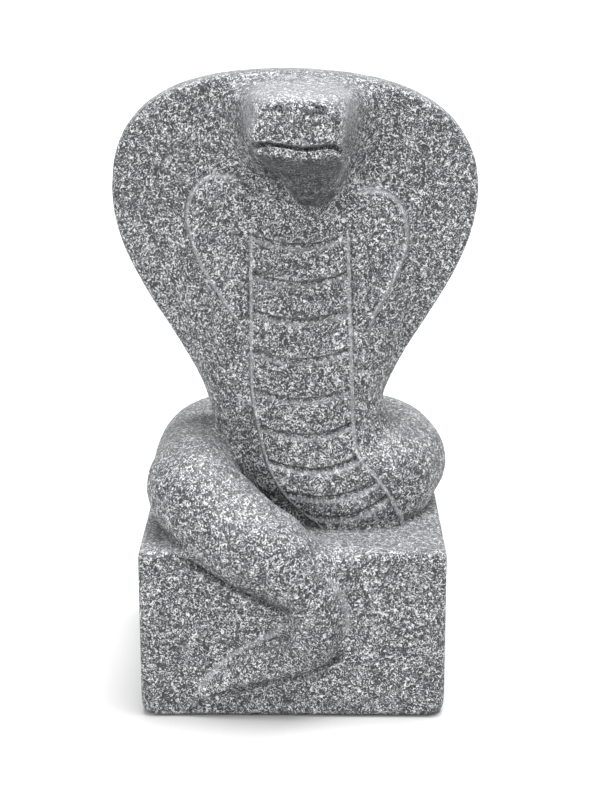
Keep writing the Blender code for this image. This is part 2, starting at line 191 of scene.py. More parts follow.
# Studio: white up to a little above the horizon and light grey overhead, over a wide floor
ROOM_SHADES = ((0.0, "ffffff"), (0.10, "f8f8f8"), (0.30, "a6a6a6"), (1.0, "a2a2a2"))
FLOOR_SIZE = 60.0
FLOOR_COLOUR = "cccccc"
# Lights: strength, then apparent width and turns in degrees
LIGHTS = (
    (5.3, 44, (-1, 7, 0)),
    (1.60, 60, (62, 0, -18)),
)

# Camera, fitted to the block's edges in the photo: degrees, metres, and millimetres for the lens
CAMERA_ELEVATION = 15.82
CAMERA_AZIMUTH = 0.41
CAMERA_TARGET = (0.00398, 0, 0.1811)
CAMERA_DISTANCE = 1.2028
SENSOR_WIDTH = 36.0
LENS = 83.56


def up(share):
    """Height of a place on the snake, given as a share of its own height."""
    return BLOCK_HEIGHT + share * SNAKE_HEIGHT


def only(thing):
    """Leaves one object selected and active, so that the next operator acts on it alone."""
    bpy.ops.object.select_all(action="DESELECT")
    thing.select_set(True)
    bpy.context.view_layer.objects.active = thing
    return thing


def finish_with(thing, kind, **settings):
    """Adds a modifier with its settings and applies it."""
    only(thing)
    modifier = thing.modifiers.new(kind.title(), kind)
    for name, value in settings.items():
        setattr(modifier, name, value)
    bpy.ops.object.modifier_apply(modifier=modifier.name)


def squared_circle(angle, squareness):
    """A place on an oval of half width and half depth 1: squareness 2 is round, more is boxier."""
    across, along = math.cos(angle), math.sin(angle)
    return (
        math.copysign(abs(across) ** (2 / squareness), across),
        math.copysign(abs(along) ** (2 / squareness), along),
    )


def ring(widest, half_width, near, far, squareness, rise):
    """Points round an oval section that reaches near below its widest line and far above it."""
    points = []
    for i in range(RING_POINTS):
        across, along = squared_circle(2 * math.pi * i / RING_POINTS, squareness)
        height = along * (far if along > 0 else near)
        points.append(widest + SIDE * across * half_width + rise * height)
    return points


def select_rings(form, first, last):
    """Selects the sections from first up to last of a form in edit mode, and nothing else."""
    shape = bmesh.from_edit_mesh(form.data)
    shape.verts.ensure_lookup_table()
    bpy.ops.mesh.select_all(action="DESELECT")
    for vert in shape.verts[first * RING_POINTS:last * RING_POINTS]:
        vert.select_set(True)
    shape.select_flush(True)


def loft(name, rings):
    """Circles shaped into sections one after the other, bridged and closed at both ends."""
    bpy.ops.mesh.primitive_circle_add(vertices=RING_POINTS, radius=0.01)
    form = bpy.context.object
    form.name = name
    bpy.ops.object.mode_set(mode="EDIT")
    for _ in rings[1:]:
        bpy.ops.mesh.primitive_circle_add(vertices=RING_POINTS, radius=0.01)
    shape = bmesh.from_edit_mesh(form.data)
    shape.verts.ensure_lookup_table()
    for i, point in enumerate(point for points in rings for point in points):
        shape.verts[i].co = point
    bmesh.update_edit_mesh(form.data)
    for i in range(len(rings) - 1):
        select_rings(form, i, i + 2)
        bpy.ops.mesh.bridge_edge_loops()
    for i in (0, len(rings) - 1):
        select_rings(form, i, i + 1)
        bpy.ops.mesh.edge_face_add()
    bpy.ops.mesh.select_all(action="SELECT")
    bpy.ops.mesh.normals_make_consistent(inside=False)
    bpy.ops.object.mode_set(mode="OBJECT")
    return form


def make_block():
    """The square block; the softening of the whole stone eases its edges."""
    bpy.ops.mesh.primitive_cube_add(
        size=1.0,
        location=(0, 0, BLOCK_HEIGHT / 2),
        scale=(BLOCK_WIDTH, BLOCK_WIDTH, BLOCK_HEIGHT),
    )
    block = bpy.context.object
    bpy.ops.object.transform_apply(location=True, rotation=True, scale=True)
    return block


def set_knots(spline, places):
    """Puts a flat curve's knots in place, with the offsets of their handles."""
    for knot, (place, before, after) in zip(spline.bezier_points, places):
        knot.handle_left_type = knot.handle_right_type = "FREE"
        knot.co = (*place, 0)
        knot.handle_left = (place[0] + before[0], place[1] + before[1], 0)
        knot.handle_right = (place[0] + after[0], place[1] + after[1], 0)


def make_hood():
    """The spread hood: a flat plate with a rounded rim, standing on the neck."""
    half = HOOD_WIDTH / 2
    waist = NECK_WIDTH / 2
    top, widest, neck, foot = up(1.0), up(0.740), up(0.275), up(0.16)
    span = top - neck
    # knot, handle towards the knot before it, handle towards the knot after it
    right = [
        ((HOOD_CREST, top), (-0.36 * HOOD_WIDTH, 0), (0.36 * HOOD_WIDTH, 0)),
        ((half, widest), (0, 0.225 * span), (0, -0.25 * span)),
        ((waist, neck), (0.064 * HOOD_WIDTH, 0.21 * span), (-0.02 * HOOD_WIDTH, -0.10 * span)),
        ((0.8 * waist, foot), (0.01 * HOOD_WIDTH, 0.05 * span), (-0.03 * HOOD_WIDTH, 0)),
    ]
    left = []
    for place, before, after in reversed(right[1:]):
        left.append(tuple((-across, height) for across, height in (place, after, before)))
    bpy.ops.curve.primitive_bezier_circle_add()
    hood = bpy.context.object
    outline = hood.data
    outline.dimensions = "2D"
    outline.fill_mode = "BOTH"
    outline.resolution_u = 16
    outline.extrude = HOOD_THICKNESS / 2 - HOOD_ROUNDING
    outline.bevel_depth = HOOD_ROUNDING
    outline.bevel_resolution = 3
    outline.offset = -HOOD_ROUNDING
    spline = outline.splines[0]
    spline.bezier_points.add(len(right + left) - len(spline.bezier_points))
    set_knots(spline, right + left)
    hood.location = (HOOD_AXIS, 0, 0)
    hood.rotation_euler = (math.pi / 2, 0, 0)
    only(hood)
    bpy.ops.object.convert(target="MESH")
    bpy.ops.object.transform_apply(location=True, rotation=True, scale=True)
    return bpy.context.object


def level_rings(sections):
    """Level sections: height, left and right edge, front and back, squareness."""
    rings = []
    for height, left, right, front, back, squareness in sections:
        centre = Vector(((left + right) / 2, (front + back) / 2, height))
        half_depth = (back - front) / 2
        rings.append(ring(centre, (right - left) / 2, half_depth, half_depth, squareness, BACK))
    return rings


def make_trunk():
    """The neck, and the swell of the body that runs up the hood to the throat."""
    deep = NECK_DEPTH / 2
    waist = NECK_WIDTH / 2
    hood = HOOD_WIDTH / 2
    reach = BLOCK_WIDTH / 2
    sections = [
        (up(-0.015), -0.04 * reach, 0.84 * reach, -0.48 * reach, 0.44 * reach, 2.2),
        (up(0.020), -0.16 * reach, 0.94 * reach, -0.55 * reach, 0.44 * reach, 2.2),
        (up(0.050), -0.25 * reach, 0.95 * reach, -0.57 * reach, 0.44 * reach, 2.2),
        (up(0.085), -0.46 * reach, 0.91 * reach, -0.57 * reach, 0.43 * reach, 2.2),
        (up(0.125), -0.52 * reach, 0.89 * reach, -0.55 * reach, 0.40 * reach, 2.2),
        (up(0.165), -0.54 * reach, 0.80 * reach, -0.52 * reach, 0.36 * reach, 2.2),
        (up(0.210), -0.90 * waist, 1.10 * waist, -1.29 * deep, 0.82 * deep, 2.2),
        (up(0.275), -0.98 * waist, 1.01 * waist, -1.25 * deep, 0.73 * deep, 2.1),
        (up(0.380), -0.58 * hood, 0.58 * hood, -1.21 * deep, 0.67 * deep, 1.85),
        (up(0.480), -0.67 * hood, 0.67 * hood, -1.16 * deep, 0.63 * deep, 1.60),
        (up(0.580), -0.73 * hood, 0.75 * hood, -1.08 * deep, 0.58 * deep, 1.42),
        (up(0.670), -0.73 * hood, 0.79 * hood, -0.98 * deep, 0.54 * deep, 1.34),
        (up(0.730), -0.68 * hood, 0.74 * hood, -0.85 * deep, 0.50 * deep, 1.40),
        (up(0.765), -0.57 * hood, 0.63 * hood, -0.66 * deep, 0.44 * deep, 1.60),
        (up(0.790), -0.37 * hood, 0.43 * hood, -0.40 * deep, 0.34 * deep, 2.0),
    ]
    return loft("trunk", level_rings(sections))


def make_bed():
    """Uncut stone inside the coil, between the neck's foot and the coil's left limb."""
    reach = BLOCK_WIDTH / 2
    sections = [
        (up(-0.015), -0.60 * reach, 0.66 * reach, -0.46 * reach, 0.64 * reach, 3.0),
        (up(0.050), -0.58 * reach, 0.64 * reach, -0.46 * reach, 0.60 * reach, 3.0),
        (up(0.145), -0.55 * reach, 0.30 * reach, -0.36 * reach, 0.50 * reach, 3.0),
    ]
    return loft("bed", level_rings(sections))


def head_rings(sections, lean):
    """Upright sections across the head; drops are shares of its depth below the hood's top."""
    rings = []
    for reach, half, high, widest, low, squareness in sections:
        across = HEAD_AXIS + lean * (1 - reach)
        middle = Vector((across, -reach * SNOUT_REACH, up(0.995) - widest * HEAD_DEPTH))
        below, above = (low - widest) * HEAD_DEPTH, (widest - high) * HEAD_DEPTH
        rings.append(ring(middle, half, below, above, squareness, UP))
    return rings


def make_skull():
    """The upper head: softly flat on top, narrowing from the hood to a blunt snout."""
    root, snout = HEAD_WIDTH / 2, SNOUT_WIDTH / 2
    # reach forward, half width, drops of the top, the widest line and the keel, squareness
    sections = [
        (-0.10, 1.34 * root, 0.00, 0.30, 1.10, 2.3),
        (0.17, 1.22 * root, 0.00, 0.30, 1.06, 2.3),
        (0.22, 1.08 * root, 0.005, 0.30, 1.01, 2.3),
        (0.30, 0.96 * root, 0.01, 0.29, 0.93, 2.3),
        (0.42, 0.86 * root, 0.02, 0.27, 0.80, 2.4),
        (0.62, 0.75 * root, 0.035, 0.24, 0.64, 2.8),
        (0.80, 1.13 * snout, 0.05, 0.23, 0.57, 3.4),
        (0.93, 1.06 * snout, 0.065, 0.25, 0.56, 4.0),
        (1.00, 0.88 * snout, 0.11, 0.27, 0.53, 4.0),
    ]
    return loft("skull", head_rings(sections, 0.0))


def make_jaw():
    """The lower jaw: narrower, scooped back from the lip to the throat."""
    snout = SNOUT_WIDTH / 2
    sections = [
        (-0.10, 1.00 * snout, 0.45, 0.70, 1.24, 2.0),
        (0.25, 0.84 * snout, 0.45, 0.70, 1.20, 2.0),
        (0.38, 0.78 * snout, 0.45, 0.70, 1.12, 2.0),
        (0.52, 0.79 * snout, 0.45, 0.68, 1.02, 2.0),
        (0.68, 0.87 * snout, 0.45, 0.66, 0.89, 2.1),
        (0.82, 0.97 * snout, 0.45, 0.60, 0.76, 2.3),
        (0.92, 0.98 * snout, 0.45, 0.54, 0.66, 2.6),
        (0.98, 0.86 * snout, 0.46, 0.52, 0.59, 3.0),
    ]
    return loft("jaw", head_rings(sections, JAW_LEAN))


def body_path():
    """Middle line of the coil, the length over the front and the tail, with its radius."""
    r = BODY_WIDTH / 2
    bed = BLOCK_HEIGHT + 0.93 * r
    out = BLOCK_WIDTH / 2 - r
    path = [
        (Vector((0.50 * out, -0.30 * out, bed)), 0.9 * r),
        (Vector((0.84 * out, -0.32 * out, bed)), r),
    ]
    for degrees in range(0, 181, 15):
        across, along = squared_circle(math.radians(degrees), COIL_SQUARENESS)
        path.append((Vector((COIL_AXIS + out * across, out * along, bed)), r))
    path += [
        (Vector((COIL_AXIS - 1.00 * out, -0.45 * out, bed + 0.02 * r)), r),
        (Vector((-0.93 * out, -0.92 * out, bed - 0.06 * r)), r),
        (Vector((-0.72 * out, -1.10 * out, bed - 0.42 * r)), r),
    ]
    # places on the block's front: across and up as shares of the block's half width and height,
    # then the girth and how far it stands out as shares of the coil's radius
    face = [
        (-0.300, 1.025, 0.98, 0.62),
        (-0.140, 0.955, 0.93, 0.67),
        (-0.005, 0.870, 0.84, 0.67),
        (0.120, 0.745, 0.69, 0.57),
        (0.152, 0.590, 0.62, 0.49),
        (0.130, 0.460, 0.58, 0.45),
        (0.045, 0.395, 0.54, 0.43),
        (-0.070, 0.360, 0.49, 0.39),
        (-0.270, 0.292, 0.38, 0.32),
        (-0.450, 0.212, 0.28, 0.23),
        (-0.590, 0.140, 0.18, 0.14),
        (-0.675, 0.088, 0.07, 0.06),
    ]
    for across, height, girth, proud in face:
        depth = BLOCK_FRONT + (girth - proud) * r
        path.append((Vector((across * BLOCK_WIDTH / 2, depth, height * BLOCK_HEIGHT)), girth * r))
    return path


def make_body():
    """The coil and the tail: a curve that passes the middle line's places, with the girth of each."""
    path = body_path()
    bpy.ops.curve.primitive_bezier_curve_add()
    body = bpy.context.object
    curve = body.data
    curve.dimensions = "3D"
    curve.resolution_u = 10
    curve.bevel_depth = 1.0
    curve.bevel_resolution = 8
    curve.use_fill_caps = True
    spline = curve.splines[0]
    spline.radius_interpolation = "CARDINAL"
    spline.bezier_points.add(len(path) - len(spline.bezier_points))
    for knot, (place, girth) in zip(spline.bezier_points, path):
        knot.co = place
        knot.radius = girth
        knot.handle_left_type = knot.handle_right_type = "AUTO"
    only(body)
    bpy.ops.object.convert(target="MESH")
    return bpy.context.object


def one_skin(forms):
    """Joins the rough forms into one stone, with the soft hollows where they meet."""
    bpy.ops.object.select_all(action="DESELECT")
    for form in forms:
        form.select_set(True)
    bpy.context.view_layer.objects.active = forms[0]
    bpy.ops.object.join()
    stone = bpy.context.object
    stone.name = stone.data.name = "granite_cobra"
    bpy.ops.object.mode_set(mode="EDIT")
    bpy.ops.mesh.select_all(action="SELECT")
    bpy.ops.mesh.remove_doubles(threshold=0.00001)
    bpy.ops.mesh.normals_make_consistent(inside=False)
    bpy.ops.object.mode_set(mode="OBJECT")
    finish_with(stone, "REMESH", mode="VOXEL", voxel_size=GRID)
    finish_with(stone, "SMOOTH", factor=0.5, iterations=SOFTENING)
    return stone


def make_saddle():
    """Stone left beside the hanging length, so that it runs into the block's top edge."""
    bpy.ops.mesh.primitive_uv_sphere_add(
        segments=48,
        ring_count=24,
        radius=1.0,
        location=SADDLE_PLACE,
        scale=SADDLE_SIZE,
    )
    saddle = bpy.context.object
    bpy.ops.object.transform_apply(location=True, rotation=True, scale=True)
    return saddle


def points_of(stone):
    """The places of the stone's vertices, one row each."""
    flat = np.empty(len(stone.data.vertices) * 3, np.float32)
    stone.data.vertices.foreach_get("co", flat)
    return flat.reshape(-1, 3)


def normals_of(stone):
    """The directions that the stone faces at its vertices, one row each."""
    flat = np.empty(len(stone.data.vertices) * 3, np.float32)
    stone.data.vertex_normals.foreach_get("vector", flat)
    return flat.reshape(-1, 3)


def neighbours_of(stone):
    """The two vertices of each edge, one row each, and how many neighbours each vertex has."""
    ends = np.empty(len(stone.data.edges) * 2, np.int32)
    stone.data.edges.foreach_get("vertices", ends)
    count = np.bincount(ends, minlength=len(stone.data.vertices))
    return ends.reshape(-1, 2), np.maximum(count, 1)


def move_to(stone, points):
    """Moves the stone's vertices to new places."""
    stone.data.vertices.foreach_set("co", points.astype(np.float32).ravel())
    stone.data.update()


def step(low, high, value):
    """0 below low, 1 above high and an even rise between."""
    t = np.clip((value - low) / (high - low), 0.0, 1.0)
    return t * t * (3 - 2 * t)


def neighbour_mean(values, ends, count):
    """The mean of a value over the neighbours of each vertex."""
    total = np.bincount(ends[:, 0], weights=values[ends[:, 1]], minlength=len(values))
    total += np.bincount(ends[:, 1], weights=values[ends[:, 0]], minlength=len(values))
    return total / count


def rub_down(stone, weights, rounds):
    """Rounds off the stone where the weights are above 0."""
    points = points_of(stone).astype(float)
    ends, count = neighbours_of(stone)
    for _ in range(rounds):
        for axis in range(3):
            values = points[:, axis]
            points[:, axis] += 0.5 * weights * (neighbour_mean(values, ends, count) - values)
    move_to(stone, points)


def ease_top_edge(stone):
    """The block's top edge is rubbed away beside the hanging length and comes back further right."""
    points = points_of(stone)
    from_edge = np.hypot(points[:, 1] - BLOCK_FRONT, points[:, 2] - BLOCK_HEIGHT)
    weights = 1 - step(0.018, 0.030, from_edge)
    weights *= step(0.000, 0.014, points[:, 0]) * (1 - step(0.040, 0.060, points[:, 0]))
    rub_down(stone, weights, TOP_EDGE_ROUNDS)


def round_off(stone):
    """The snout's front runs into its top with a full soft curve, and the block's foot is eased."""
    points = points_of(stone)
    from_tip = points - np.array((HEAD_AXIS, 0.004 - SNOUT_REACH, up(0.968)))
    weights = 1 - step(0.6, 1.0, np.linalg.norm(from_tip / SNOUT_ZONE, axis=1))
    rub_down(stone, weights, SNOUT_ROUNDS)
    points = points_of(stone)
    side = np.max(np.abs(points[:, :2]), axis=1)
    from_foot = np.hypot(side - BLOCK_WIDTH / 2, points[:, 2])
    rub_down(stone, 1 - step(0.0030, 0.0060, from_foot), FOOT_ROUNDS)
    points = points_of(stone)
    corner = np.abs(points) - np.array((BLOCK_WIDTH / 2, BLOCK_WIDTH / 2, 0))
    weights = 1 - step(0.5, 1.0, np.linalg.norm(corner / CORNER_ZONE, axis=1))
    rub_down(stone, weights, CORNER_ROUNDS)


def smooth_line(numbers):
    """A soft line through places on the front, in metres from millimetres."""
    knots = np.array(numbers, float).reshape(-1, 2) / MM_PER_METRE
    steps = np.linspace(0, len(knots) - 1, 6 * len(knots))
    line = np.column_stack([np.interp(steps, np.arange(len(knots)), knots[:, i]) for i in range(2)])
    for _ in range(8):
        line[1:-1] = (line[:-2] + 2 * line[1:-1] + line[2:]) / 4
    return line


def from_line(flat, line):
    """How far places on the front are from a line, and at what share of its length they are nearest."""
    gap, share = np.full(len(flat), 1.0), np.zeros(len(flat))
    for i, (start, end) in enumerate(zip(line, line[1:])):
        run = end - start
        t = np.clip(((flat - start) @ run) / (run @ run), 0, 1)
        away = np.linalg.norm(flat - start - t[:, None] * run, axis=1)
        share = np.where(away < gap, (i + t) / (len(line) - 1), share)
        gap = np.minimum(gap, away)
    return gap, share


def goes_round(line, flat):
    """True for the places on the front that a closed line goes round."""
    within = np.zeros(len(flat), bool)
    for (x0, z0), (x1, z1) in zip(line, np.roll(line, -1, axis=0)):
        if z0 == z1:
            continue
        crosses = (z0 > flat[:, 1]) != (z1 > flat[:, 1])
        within ^= crosses & (flat[:, 0] < x0 + (flat[:, 1] - z0) * (x1 - x0) / (z1 - z0))
    return within


def bump(distance, width):
    """1 on a line, 0 from half the width away."""
    return np.clip(1 - (2 * distance / width) ** 2, 0.0, 1.0) ** 2


def front_cuts(points):
    """Depth of the cuts on the block's front, how near their lines are, and how pale its edges are
    painted: wear, and partly painted highlight.
    """
    depth, lines = np.zeros(len(points)), np.full(len(points), 1.0)
    flat = points[:, [0, 2]].astype(float)
    for deep, numbers in FRONT_CUTS:
        gap, share = from_line(flat, smooth_line(numbers))
        fade = step(0.0, 0.22, share) * (1 - step(0.72, 1.0, share))
        depth = np.maximum(depth, deep * fade * np.clip(1 - 2 * gap / FRONT_CUT_WIDTH, 0, 1))
        lines = np.minimum(lines, gap)
    # pale edges: wear, and partly a painted highlight
    pale = np.zeros(len(points))
    for numbers in PALE_EDGES:
        gap, share = from_line(flat, smooth_line(numbers))
        fade = step(0.0, 0.15, share) * (1 - step(0.85, 1.0, share))
        pale = np.maximum(pale, fade * bump(gap, PALE_WIDTH))
    return depth - RIM_RISE * pale, lines, pale


def front_relief(points):
    """How far the carving stands out, how near its sharp lines are, and how pale its rims and the band
    under each groove are painted: wear, and partly painted highlight.
    """
    flat = points[:, [0, 2]].astype(float)
    height = flat[:, 1]
    edges = []
    for numbers in (BELLY_LEFT, BELLY_RIGHT):
        line = smooth_line(numbers)[::-1]
        edges.append(np.interp(height, line[:, 1], line[:, 0]))
    middle, half = (edges[0] + edges[1]) / 2, (edges[1] - edges[0]) / 2
    aside = (flat[:, 0] - middle) / half
    gap = (np.abs(aside) - 1) * half

    chest = smooth_line(CHEST_OUTLINE)
    beyond = from_line(flat, chest)[0] * np.where(goes_round(chest, flat), -1, 1)
    low_end = step(*LOBE_FOOT, height)
    closed = 1 - step(*PANEL_TOP, height)
    panel = (1 - step(-0.0012, 0.0012, gap)) * closed
    lobe = (1 - step(-0.0018, 0.0010, beyond)) * low_end * step(-0.001, 0.010, gap) * (1 - panel)
    lift = BELLY_RISE * panel + LOBE_RISE * lobe
    from_panel = step(0.002, 0.014, gap)
    outer = bump(beyond + 0.0016, RIM_WIDTH) * low_end * from_panel
    inner = bump(gap + 0.0012, RIM_WIDTH) * closed
    lift += RIM_RISE * np.maximum(outer, inner)
    lift -= 0.6 * RIM_RISE * bump(beyond - 0.0022, RIM_WIDTH) * low_end * from_panel

    inside = (1 - step(-0.004, -0.001, gap)) * closed
    offset = np.full(len(flat), 1.0)
    for groove, tilt in SCUTES:
        line = groove / MM_PER_METRE + SCUTE_SAG * aside**2 + tilt / (2 * MM_PER_METRE) * aside
        offset = np.where(np.abs(height - line) < np.abs(offset), height - line, offset)
    depth = np.where(offset > 0, 1 - offset / GROOVE_ABOVE, 1 + offset / GROOVE_BELOW)
    lift -= GROOVE_DEPTH * np.clip(depth, 0, 1) * inside
    lift += BAND_SWELL * bump(offset - BAND_MIDDLE, BAND_WIDTH) * inside
    # pale rims and the band under each groove, whose lower side faces up: wear, and partly a painted
    # highlight
    wear_and_painted_light = np.maximum(np.maximum(outer, inner), bump(offset + 0.0030, 0.0045) * inside)

    lines = np.minimum(np.abs(beyond), np.abs(gap) + 10 * np.maximum(beyond, 0))
    lines = np.where(low_end > 0, lines, np.abs(gap))
    lines = np.where(gap < 0.001, np.minimum(lines, np.abs(offset + 0.0015)), lines)
    return lift, lines, wear_and_painted_light


def coil_gap(points):
    """Distance of each point outside the left part of the coil and the length over the front."""
    stretch = [knot for knot in body_path() if knot[0].x < 0.25 * BLOCK_WIDTH / 2]
    gap = np.full(len(points), 1.0)
    for (start, thick), (end, thin) in zip(stretch, stretch[1:]):
        for t in np.linspace(0, 1, 4, endpoint=False):
            middle = np.array(start.lerp(end, t))
            gap = np.minimum(gap, np.linalg.norm(points - middle, axis=1) - (thick + (thin - thick) * t))
    return gap


def carved_region(stone):
    """Vertices on the snake's front that the relief may move."""
    points, normals = points_of(stone), normals_of(stone)
    head = (points[:, 2] > up(THROAT)) & (points[:, 1] < -NECK_DEPTH / 2 - HEAD_START)
    return np.flatnonzero((normals[:, 1] < -FRONT_FACING) & (points[:, 2] > up(0.0)) & ~head)


def hanging_region(stone):
    """Vertices on the block's front and on what hangs over it."""
    points, normals = points_of(stone), normals_of(stone)
    on_front = (points[:, 2] < BLOCK_HEIGHT) & (points[:, 1] < BLOCK_FRONT + 0.004)
    return np.flatnonzero((normals[:, 1] < -0.10) & on_front)


def refine(stone, reach):
    """Splits the faces that lie near a sharp line of the carving, or on the snake's face."""
    touched = carved_region(stone)
    points = points_of(stone)
    _, lines, _ = front_relief(points[touched])
    near = np.zeros(len(points), bool)
    near[touched[(lines < reach) & (coil_gap(points[touched]) > 0.0)]] = True
    hanging = hanging_region(stone)
    _, lines, _ = front_cuts(points[hanging])
    near[hanging[lines < reach]] = True
    head = points - np.array((HEAD_AXIS, -SNOUT_REACH, up(0.905)))
    near |= (np.abs(head) < FINE_ON_FACE).all(axis=1)
    corners = np.empty(len(stone.data.loops), np.int32)
    stone.data.loops.foreach_get("vertex_index", corners)
    starts = np.empty(len(stone.data.polygons), np.int32)
    stone.data.polygons.foreach_get("loop_start", starts)
    chosen = np.add.reduceat(near[corners], starts) > 0
    only(stone)
    bpy.ops.object.mode_set(mode="EDIT")
    bpy.ops.mesh.select_mode(type="FACE")
    bpy.ops.mesh.select_all(action="DESELECT")
    bpy.ops.object.mode_set(mode="OBJECT")
    stone.data.polygons.foreach_set("select", chosen)
    bpy.ops.object.mode_set(mode="EDIT")
    bpy.ops.mesh.subdivide(number_cuts=1)
    bpy.ops.object.mode_set(mode="OBJECT")


def carve(stone):
    """Cuts the relief into the front of the neck and hood, and the cuts into the block's front."""
    touched = carved_region(stone)
    points, normals = points_of(stone), normals_of(stone)
    facing = step(FRONT_FACING, 0.5, -normals[touched, 1])
    free = step(0.0010, 0.0040, coil_gap(points[touched]))
    lift, _, _ = front_relief(points[touched])
    points[touched, 1] -= lift * facing * free
    hanging = hanging_region(stone)
    depth, _, _ = front_cuts(points[hanging])
    points[hanging, 1] += depth
    move_to(stone, points)


def shape_lips(stone):
    """The lips swell beside the mouth's line and are drawn out at their left end, and the jaw
    falls back below the lower one."""
    places, drops, _ = np.array(MOUTH).T / MM_PER_METRE
    points = points_of(stone)
    across = points[:, 0] - HEAD_AXIS
    below = up(LIP) - np.interp(across, places, drops) - points[:, 2]
    front = (1 - step(*LIP_FRONT, points[:, 1])) * (1 - step(0.023, 0.030, np.abs(across)))
    lift = LIP_SWELL * bump(below - 0.7 * LIP_HEIGHT, 1.6 * LIP_HEIGHT)
    points[:, 1] -= lift * front
    jaw = step(LIP_HEIGHT + 0.0020, LIP_HEIGHT + 0.0110, below) * (1 - step(0.022, 0.040, below))
    ahead = 1 - step(*JAW_FRONT, points[:, 1])
    points[:, 1] += JAW_CUT * jaw * ahead * (1 - step(0.023, 0.031, np.abs(across)))
    flare = step(0.006, 0.022, -across) * (1 - step(*FLARE_FRONT, points[:, 1]))
    points[:, 0] -= LIP_FLARE * flare * bump(below - 0.001, 0.040)
    move_to(stone, points)


def open_mouth(stone):
    """The mouth's slit, cut with a thin wedge that follows the waving line between the lips."""
    places, drops, gaps = np.array(MOUTH).T / MM_PER_METRE
    bpy.ops.mesh.primitive_grid_add(x_subdivisions=25, y_subdivisions=2, size=1.0)
    wedge = bpy.context.object
    bpy.ops.object.mode_set(mode="EDIT")
    bpy.ops.mesh.extrude_region_move(TRANSFORM_OT_translate={"value": (0, 0, 1)})
    bpy.ops.mesh.select_all(action="SELECT")
    bpy.ops.mesh.normals_make_consistent(inside=False)
    bpy.ops.object.mode_set(mode="OBJECT")
    for vert in wedge.data.vertices:
        across = 2 * vert.co.x * places[-1]
        middle = up(LIP) - np.interp(across, places, drops)
        gap = np.interp(across, places, gaps)
        # the wedge starts in front of the lips, and its back edge is lower and half as high
        deep = -0.003
        if vert.co.y > 0:
            deep = MOUTH_CUT + 0.006 * (across / places[-1]) ** 2
            middle -= MOUTH_FALL
            gap *= 0.5
        high = 0.5 if vert.co.z > 0.5 else -0.5
        vert.co = (HEAD_AXIS + across, -SNOUT_REACH + deep, middle + high * gap)
    carve_with(stone, wedge)


def cut_nostrils(stone):
    """Two shallow round bowls in the snout's front, deepest under their upper inner edge."""
    points = points_of(stone)
    front = (points[:, 1] < -0.8 * SNOUT_REACH) & (points[:, 2] > up(LIP))
    for side in (-1, 1):
        across = (points[:, 0] - HEAD_AXIS - side * NOSTRIL_SPACING / 2) / (NOSTRIL_WIDTH / 2)
        rise = (points[:, 2] - up(NOSTRIL_HEIGHT)) / (NOSTRIL_WIDTH / 2)
        bowl = np.clip(1 - across**2 - rise**2, 0, 1)
        lean = np.clip(0.6 + 0.5 * rise - 0.4 * side * across, 0.0, 1.2)
        points[:, 1] += np.where(front, NOSTRIL_DEPTH * bowl**0.4 * lean, 0)
    move_to(stone, points)


def carve_with(stone, tool):
    """Takes the tool's shape out of the stone and then deletes the tool."""
    finish_with(stone, "BOOLEAN", operation="DIFFERENCE", solver="EXACT", object=tool)
    bpy.data.objects.remove(tool, do_unlink=True)


def soften_values(stone, values, rounds):
    """Spreads a value along the surface: each round averages it with its neighbours."""
    ends, count = neighbours_of(stone)
    for _ in range(rounds):
        values = (values + neighbour_mean(values, ends, count)) / 2
    return values


def note(stone, name, values):
    """Stores a value for each vertex, for the material to read."""
    attribute = stone.data.attributes.new(name, "FLOAT", "POINT")
    attribute.data.foreach_set("value", values.astype(np.float32))


def search_tree(points):
    """The points, sorted so that near ones are found fast."""
    tree = kdtree.KDTree(len(points))
    for i, point in enumerate(points):
        tree.insert(point, i)
    tree.balance()
    return tree


def how_proud(points, normals):
    """How far each point stands out of the stone within a few millimetres: 0.5 is flat,
    1 an arris and 0 the bottom of a groove."""
    tree = search_tree(points)
    middle = np.empty_like(points)
    for i, point in enumerate(points):
        near = [index for _, index, _ in tree.find_range(point, PROUD_REACH)]
        middle[i] = points[near].mean(axis=0)
    out = ((points - middle) * normals).sum(axis=1)
    return np.clip(0.5 + out / PROUD_HEIGHT, 0.0, 1.0)


def note_wear_and_painted_light(stone, proud):
    """Stores on the stone how proud each place is, how far it faces up, and its pale marks: worn edges
    and rims with painted highlight, and painted light on the head's top and sides.
    """
    note(stone, "proud", proud)
    points, normals = points_of(stone), normals_of(stone)
    wear_and_painted_light = np.zeros(len(points))
    touched = carved_region(stone)
    wear_and_painted_light[touched] = front_relief(points[touched])[2]
    wear_and_painted_light *= step(0.001, 0.004, coil_gap(points))
    hanging = hanging_region(stone)
    wear_and_painted_light[hanging] = front_cuts(points[hanging])[2]
    # painted light: the head's top and sides are lightened
    head = step(-0.030, -0.048, points[:, 1]) * step(up(0.82), up(0.88), points[:, 2])
    head *= (1 - step(0.55, 0.85, -normals[:, 1])) * step(-0.5, 0.1, normals[:, 2])
    wear_and_painted_light = np.maximum(wear_and_painted_light, HEAD_PAINTED_LIGHT * head)
    note(stone, "wear_and_painted_light", wear_and_painted_light)
    # how far each place faces up: the material lightens upward faces as painted top light and darkens
    # downward ones as painted shade
    note(stone, "upward", soften_values(stone, normals_of(stone)[:, 2].astype(float), 3))


def lighten(stone):
    """Fewer triangles where the stone is flat; what was measured on the finer mesh is carried over."""
    fine, normals = points_of(stone).astype(float), normals_of(stone)
    proud = soften_values(stone, how_proud(fine, normals), 1)
    triangles = sum(len(face.vertices) - 2 for face in stone.data.polygons)
    if triangles > TRIANGLES:
        finish_with(stone, "DECIMATE", ratio=TRIANGLES / triangles)
    tree = search_tree(fine)
    nearest = [tree.find(point)[1] for point in points_of(stone)]
    return proud[nearest]


